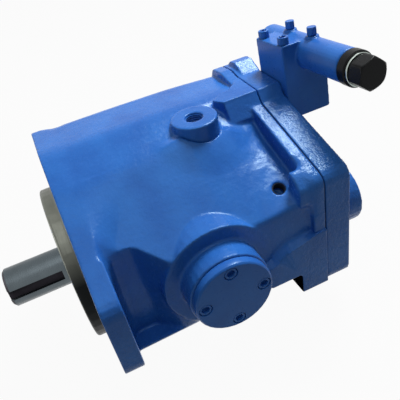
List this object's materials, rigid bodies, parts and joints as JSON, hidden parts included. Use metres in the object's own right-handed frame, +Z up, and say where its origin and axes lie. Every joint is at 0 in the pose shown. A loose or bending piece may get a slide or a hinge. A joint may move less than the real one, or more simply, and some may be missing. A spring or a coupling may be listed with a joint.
{
  "type": "axial piston pump",
  "caption": "Variable axial piston pump: cast case with flange and keyed shaft, trunnion covers, tilting yoke, sliding pistons, rear port block and pressure compensator.",
  "frame": {"origin": "where the shaft axis meets the face of the mounting flange", "axes": "+X along the shaft axis to the rear of the pump, +Y across along the trunnion axis, +Z up"},
  "size_m": [0.3001, 0.2118, 0.213],
  "materials": {
    "blue_paint": "semi-gloss blue enamel over cast iron",
    "ground_steel": "ground bare steel",
    "black_oxide": "black oxide on steel",
    "bronze": "machined bronze",
    "seal_rubber": "matt black rubber",
    "gasket_fibre": "dark fibre gasket"
  },
  "bodies": {
    "casing": {"housing": "blue_paint", "valve_plate": "blue_paint", "case_gasket": "gasket_fibre", "trunnion_cover_near": "blue_paint", "trunnion_cover_far": "blue_paint", "cover_screw_1": "blue_paint", "cover_screw_2": "blue_paint", "cover_screw_3": "blue_paint", "cover_screw_4": "blue_paint", "trunnion_bearing_near": "ground_steel", "trunnion_bearing_far": "ground_steel", "shaft_seal": "seal_rubber", "front_bearing_outer": "ground_steel", "retaining_ring": "black_oxide", "rear_bearing": "ground_steel", "plate_bolt_1": "black_oxide", "plate_bolt_2": "black_oxide", "plate_bolt_3": "black_oxide", "plate_bolt_4": "black_oxide", "cylinder_barrel": "ground_steel", "ball_guide": "ground_steel", "barrel_spring": "ground_steel", "yoke_spring": "ground_steel", "compensator_body": "blue_paint", "compensator_screw_1": "blue_paint", "compensator_screw_2": "blue_paint", "pipe_plug_1": "blue_paint", "pipe_plug_2": "blue_paint", "end_plug": "blue_paint", "compensator_spring": "ground_steel"},
    "shaft": {"drive_shaft": "ground_steel", "front_bearing_inner": "ground_steel"},
    "bearing_cage": {"front_bearing_cage": "bronze"},
    "tilting_yoke": {"yoke": "ground_steel", "wear_plate": "bronze", "shoe_retainer": "ground_steel"},
    "control_piston_body": {"control_piston": "ground_steel"},
    "seat_body": {"spring_seat": "ground_steel"},
    "adjuster": {"adjusting_plug": "black_oxide"},
    "lock_nut_body": {"lock_nut": "black_oxide", "bright_washer": "ground_steel"},
    "spool_body": {"spool": "ground_steel"},
    "piston_body_1": {"piston_1": "ground_steel"},
    "shoe_body_1": {"shoe_1": "bronze"},
    "piston_body_2": {"piston_2": "ground_steel"},
    "shoe_body_2": {"shoe_2": "bronze"},
    "piston_body_3": {"piston_3": "ground_steel"},
    "shoe_body_3": {"shoe_3": "bronze"},
    "piston_body_4": {"piston_4": "ground_steel"},
    "shoe_body_4": {"shoe_4": "bronze"},
    "piston_body_5": {"piston_5": "ground_steel"},
    "shoe_body_5": {"shoe_5": "bronze"},
    "piston_body_6": {"piston_6": "ground_steel"},
    "shoe_body_6": {"shoe_6": "bronze"},
    "piston_body_7": {"piston_7": "ground_steel"},
    "shoe_body_7": {"shoe_7": "bronze"},
    "piston_body_8": {"piston_8": "ground_steel"},
    "shoe_body_8": {"shoe_8": "bronze"},
    "piston_body_9": {"piston_9": "ground_steel"},
    "shoe_body_9": {"shoe_9": "bronze"}
  },
  "joints": [
    {"name": "shaft_turn", "type": "hinge", "parent": "casing", "child": "shaft", "pos_m": [0, 0, 0], "axis": [1, 0, 0], "continuous": true},
    {"name": "cage_turn", "type": "hinge", "parent": "casing", "child": "bearing_cage", "pos_m": [0.0125, 0, 0], "axis": [1, 0, 0], "continuous": true},
    {"name": "yoke_tilt", "type": "hinge", "parent": "casing", "child": "tilting_yoke", "pos_m": [0.0895, 0, 0], "axis": [0, 1, 0], "range_deg": [0, 17.5], "deforming": ["yoke_spring"]},
    {"name": "control_slide", "type": "slide", "parent": "casing", "child": "control_piston_body", "axis": [1, 0, 0], "range_m": [-0.0001, 0.0197]},
    {"name": "seat_slide", "type": "slide", "parent": "casing", "child": "seat_body", "axis": [0, -0.9962, 0.0872], "range_m": [0, 0.006], "deforming": ["compensator_spring"]},
    {"name": "adjuster_turn", "type": "hinge", "parent": "seat_body", "child": "adjuster", "pos_m": [0.225, -0.06924, 0.11106], "axis": [0, -0.9962, 0.0872], "range_deg": [-10, 1455]},
    {"name": "lock_nut_turn", "type": "hinge", "parent": "casing", "child": "lock_nut_body", "pos_m": [0.225, -0.05629, 0.10992], "axis": [0, -0.9962, 0.0872], "range_deg": [0, 60]},
    {"name": "spool_slide", "type": "slide", "parent": "casing", "child": "spool_body", "axis": [0, -0.9962, 0.0872], "range_m": [0, 0.002]},
    {"name": "piston_1_slide", "type": "slide", "parent": "casing", "child": "piston_body_1", "axis": [1, 0, 0], "range_m": [-0.0001, 0.01145]},
    {"name": "shoe_1_turn", "type": "hinge", "parent": "piston_body_1", "child": "shoe_body_1", "pos_m": [0.0895, 0, 0.036], "axis": [0, 1, 0], "range_deg": [-0.5, 18]},
    {"name": "piston_2_slide", "type": "slide", "parent": "casing", "child": "piston_body_2", "axis": [1, 0, 0], "range_m": [-0.0001, 0.0088]},
    {"name": "shoe_2_turn", "type": "hinge", "parent": "piston_body_2", "child": "shoe_body_2", "pos_m": [0.0895, -0.02314, 0.02758], "axis": [0, 1, 0], "range_deg": [-0.5, 18]},
    {"name": "piston_3_slide", "type": "slide", "parent": "casing", "child": "piston_body_3", "axis": [1, 0, 0], "range_m": [-0.0001, 0.00207]},
    {"name": "shoe_3_turn", "type": "hinge", "parent": "piston_body_3", "child": "shoe_body_3", "pos_m": [0.0895, -0.03545, 0.00625], "axis": [0, 1, 0], "range_deg": [-0.5, 18]},
    {"name": "piston_4_slide", "type": "slide", "parent": "casing", "child": "piston_body_4", "axis": [1, 0, 0], "range_m": [-0.00577, 0.0001]},
    {"name": "shoe_4_turn", "type": "hinge", "parent": "piston_body_4", "child": "shoe_body_4", "pos_m": [0.0895, -0.03118, -0.018], "axis": [0, 1, 0], "range_deg": [-0.5, 18]},
    {"name": "piston_5_slide", "type": "slide", "parent": "casing", "child": "piston_body_5", "axis": [1, 0, 0], "range_m": [-0.01077, 0.0001]},
    {"name": "shoe_5_turn", "type": "hinge", "parent": "piston_body_5", "child": "shoe_body_5", "pos_m": [0.0895, -0.01231, -0.03383], "axis": [0, 1, 0], "range_deg": [-0.5, 18]},
    {"name": "piston_6_slide", "type": "slide", "parent": "casing", "child": "piston_body_6", "axis": [1, 0, 0], "range_m": [-0.01077, 0.0001]},
    {"name": "shoe_6_turn", "type": "hinge", "parent": "piston_body_6", "child": "shoe_body_6", "pos_m": [0.0895, 0.01231, -0.03383], "axis": [0, 1, 0], "range_deg": [-0.5, 18]},
    {"name": "piston_7_slide", "type": "slide", "parent": "casing", "child": "piston_body_7", "axis": [1, 0, 0], "range_m": [-0.00577, 0.0001]},
    {"name": "shoe_7_turn", "type": "hinge", "parent": "piston_body_7", "child": "shoe_body_7", "pos_m": [0.0895, 0.03118, -0.018], "axis": [0, 1, 0], "range_deg": [-0.5, 18]},
    {"name": "piston_8_slide", "type": "slide", "parent": "casing", "child": "piston_body_8", "axis": [1, 0, 0], "range_m": [-0.0001, 0.00207]},
    {"name": "shoe_8_turn", "type": "hinge", "parent": "piston_body_8", "child": "shoe_body_8", "pos_m": [0.0895, 0.03545, 0.00625], "axis": [0, 1, 0], "range_deg": [-0.5, 18]},
    {"name": "piston_9_slide", "type": "slide", "parent": "casing", "child": "piston_body_9", "axis": [1, 0, 0], "range_m": [-0.0001, 0.0088]},
    {"name": "shoe_9_turn", "type": "hinge", "parent": "piston_body_9", "child": "shoe_body_9", "pos_m": [0.0895, 0.02314, 0.02758], "axis": [0, 1, 0], "range_deg": [-0.5, 18]}
  ],
  "couplings": [
    {"joint": "cage_turn", "follows": "shaft_turn", "ratio": 0.42},
    {"joint": "control_slide", "follows": "yoke_tilt", "m_per_rad": 0.064003},
    {"joint": "adjuster_turn", "follows": "seat_slide", "rad_per_m": 4188.8},
    {"joint": "piston_1_slide", "follows": "yoke_tilt", "m_per_rad": 0.037163},
    {"joint": "shoe_1_turn", "follows": "yoke_tilt", "ratio": 1},
    {"joint": "piston_2_slide", "follows": "yoke_tilt", "m_per_rad": 0.028468},
    {"joint": "shoe_2_turn", "follows": "yoke_tilt", "ratio": 1},
    {"joint": "piston_3_slide", "follows": "yoke_tilt", "m_per_rad": 0.0064533},
    {"joint": "shoe_3_turn", "follows": "yoke_tilt", "ratio": 1},
    {"joint": "piston_4_slide", "follows": "yoke_tilt", "m_per_rad": -0.018581},
    {"joint": "shoe_4_turn", "follows": "yoke_tilt", "ratio": 1},
    {"joint": "piston_5_slide", "follows": "yoke_tilt", "m_per_rad": -0.034922},
    {"joint": "shoe_5_turn", "follows": "yoke_tilt", "ratio": 1},
    {"joint": "piston_6_slide", "follows": "yoke_tilt", "m_per_rad": -0.034922},
    {"joint": "shoe_6_turn", "follows": "yoke_tilt", "ratio": 1},
    {"joint": "piston_7_slide", "follows": "yoke_tilt", "m_per_rad": -0.018581},
    {"joint": "shoe_7_turn", "follows": "yoke_tilt", "ratio": 1},
    {"joint": "piston_8_slide", "follows": "yoke_tilt", "m_per_rad": 0.0064533},
    {"joint": "shoe_8_turn", "follows": "yoke_tilt", "ratio": 1},
    {"joint": "piston_9_slide", "follows": "yoke_tilt", "m_per_rad": 0.028468},
    {"joint": "shoe_9_turn", "follows": "yoke_tilt", "ratio": 1}
  ]
}
